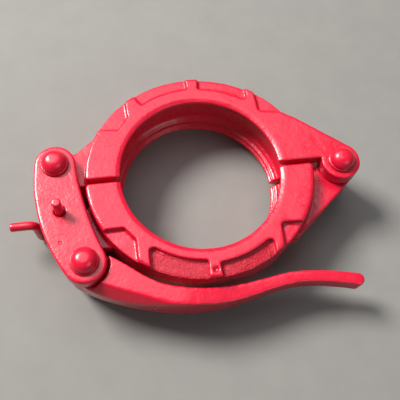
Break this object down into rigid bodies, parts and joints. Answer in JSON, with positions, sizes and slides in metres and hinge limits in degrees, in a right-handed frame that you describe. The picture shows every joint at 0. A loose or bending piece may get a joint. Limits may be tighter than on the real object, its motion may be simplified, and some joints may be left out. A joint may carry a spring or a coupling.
{
  "type": "quick lever clamp coupling",
  "caption": "Hinged split clamp coupling with a curved toggle lever and link plates that locks round the collars of two pipe ends.",
  "frame": {"origin": "centre of the bore, halfway between the two end faces", "axes": "+Z along the bore, +X towards the hinge rivet side, -Y towards the side where the lever lies"},
  "size_m": [0.3126, 0.2105, 0.0829],
  "materials": {
    "housing_paint": "thick gloss red paint over a rough casting",
    "lever_paint": "thick gloss red paint over a forged lever",
    "link_paint": "thick gloss red paint",
    "rivet_paint": "gloss red paint over steel rivets and washers",
    "pin_paint": "gloss red paint over steel wire",
    "bare_pin": "plain turned steel"
  },
  "bodies": {
    "housing_upper": {"upper_half": "housing_paint", "hinge_rivet": "rivet_paint", "hinge_washer_top": "rivet_paint", "hinge_washer_bottom": "rivet_paint", "link_rivet": "rivet_paint", "link_washer_top": "rivet_paint", "link_washer_bottom": "rivet_paint"},
    "housing_lower": {"lower_half": "housing_paint", "fulcrum_pin": "bare_pin"},
    "link": {"link_plate_top": "link_paint", "link_plate_bottom": "link_paint", "lever_rivet": "rivet_paint", "lever_washer_top": "rivet_paint", "lever_washer_bottom": "rivet_paint"},
    "lever": {"lever": "lever_paint"},
    "safety_pin": {"safety_pin": "pin_paint"}
  },
  "joints": [
    {"name": "half_hinge", "type": "hinge", "parent": "housing_upper", "child": "housing_lower", "pos_m": [0.1265, -0.0031, 0], "axis": [0, 0, 1], "range_deg": [0, 5.3]},
    {"name": "link_pivot", "type": "hinge", "parent": "housing_upper", "child": "link", "pos_m": [-0.1247, 0.0198, 0], "axis": [0, 0, -1], "range_deg": [0, 19.6]},
    {"name": "lever_pivot", "type": "hinge", "parent": "link", "child": "lever", "pos_m": [-0.1051, -0.07, 0], "axis": [0, 0, -1], "range_deg": [0, 75]},
    {"name": "safety_pin_slide", "type": "slide", "parent": "link", "child": "safety_pin", "axis": [0, 0, -1], "range_m": [0, 0.08]}
  ],
  "couplings": [
    {"joint": "half_hinge", "follows": "lever_pivot", "ratio": 0.070451},
    {"joint": "link_pivot", "follows": "lever_pivot", "ratio": 0.26003}
  ]
}
